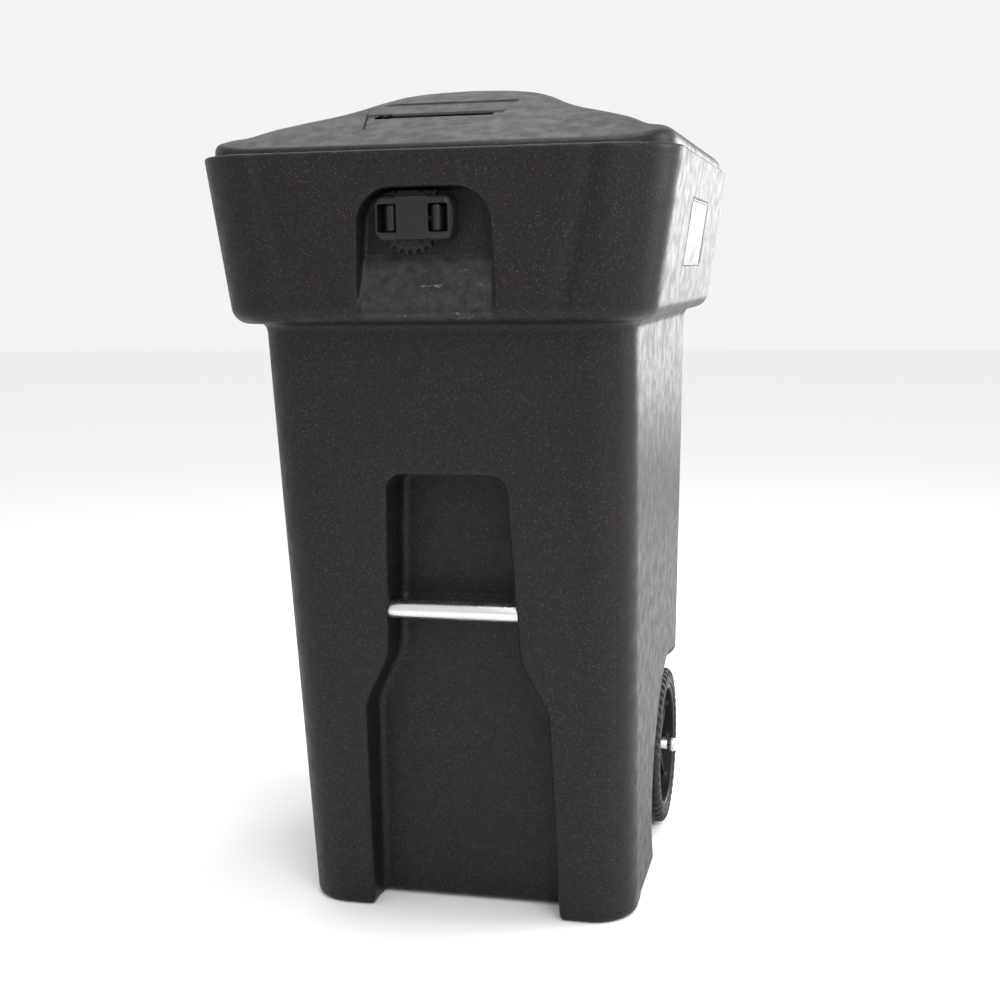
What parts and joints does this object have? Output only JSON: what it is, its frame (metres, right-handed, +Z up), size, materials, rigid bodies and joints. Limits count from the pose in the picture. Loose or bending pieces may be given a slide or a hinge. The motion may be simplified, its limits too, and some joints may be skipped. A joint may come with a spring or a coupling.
{
  "type": "two-wheeled waste cart",
  "caption": "Upright two-wheeled waste cart with flared collar, hinged domed lid, double-lever lid latch, front lift bar and rear grip.",
  "frame": {"origin": "on the ground under the middle of the cart's bounding box", "axes": "+Z up, +Y towards the handle, +X to the right when the cart's front is looked at"},
  "size_m": [0.6342, 0.8597, 1.166],
  "materials": {
    "body_plastic": "near-black granite-flecked rotomoulded polyethylene, fine pebble, slight sheen",
    "lid_plastic": "near-black granite-flecked rotomoulded polyethylene, fine pebble, slight sheen",
    "panel_plastic": "charcoal moulded polyethylene, smoother than the walls",
    "latch_plastic": "satin injection-moulded dark grey nylon",
    "wheel_plastic": "satin black moulded plastic",
    "bush_plastic": "smooth black acetal",
    "tyre": "matt black moulded rubber with lugs",
    "zinc_steel": "bright zinc-plated tube, fine scuffs round it",
    "axle_steel": "bright zinc-plated steel",
    "bracket_steel": "zinc-plated pressed steel",
    "spring_steel": "drawn spring wire"
  },
  "bodies": {
    "cart": {"cart_body": "body_plastic", "hinge_rod": "axle_steel", "hinge_rod_caps": "axle_steel", "axle": "axle_steel", "axle_washers": "axle_steel", "axle_cap_left": "axle_steel", "axle_cap_right": "axle_steel", "latch_rosette": "latch_plastic", "latch_housing": "latch_plastic", "latch_back_plate": "bracket_steel", "latch_screws": "bracket_steel", "latch_spring_left": "spring_steel", "latch_spring_right": "spring_steel", "side_panel_left": "panel_plastic", "side_panel_right": "panel_plastic"},
    "lid": {"lid": "lid_plastic", "hinge_bush_left": "bush_plastic", "hinge_bush_right": "bush_plastic", "keeper": "bracket_steel", "keeper_screws": "bracket_steel"},
    "lift_bar": {"catch_bar": "zinc_steel", "catch_bar_plugs": "bush_plastic"},
    "wheel_left": {"wheel_disc_left": "wheel_plastic", "tyre_left": "tyre"},
    "wheel_right": {"wheel_disc_right": "wheel_plastic", "tyre_right": "tyre"},
    "lever_left": {"latch_lever_left": "latch_plastic", "latch_bolt_left": "bracket_steel", "lever_screw_left": "bracket_steel"},
    "lever_right": {"latch_lever_right": "latch_plastic", "latch_bolt_right": "bracket_steel", "lever_screw_right": "bracket_steel"}
  },
  "joints": [
    {"name": "lid_hinge", "type": "hinge", "parent": "cart", "child": "lid", "pos_m": [0, 0.414, 1.075], "axis": [-1, 0, 0], "range_deg": [0, 270]},
    {"name": "wheel_left_spin", "type": "hinge", "parent": "cart", "child": "wheel_left", "pos_m": [-0.215, 0.154, 0.127], "axis": [1, 0, 0], "continuous": true},
    {"name": "wheel_right_spin", "type": "hinge", "parent": "cart", "child": "wheel_right", "pos_m": [0.215, 0.154, 0.127], "axis": [1, 0, 0], "continuous": true},
    {"name": "lift_bar_roll", "type": "hinge", "parent": "cart", "child": "lift_bar", "pos_m": [0, -0.308, 0.451], "axis": [1, 0, 0], "continuous": true},
    {"name": "lever_left_squeeze", "type": "slide", "parent": "cart", "child": "lever_left", "axis": [1, 0, 0], "range_m": [0, 0.009], "stiffness_N_per_m": 500, "springref_m": -0.006, "deforming": ["latch_spring_left"]},
    {"name": "lever_right_squeeze", "type": "slide", "parent": "cart", "child": "lever_right", "axis": [-1, 0, 0], "range_m": [0, 0.009], "stiffness_N_per_m": 500, "springref_m": -0.006, "deforming": ["latch_spring_right"]}
  ]
}
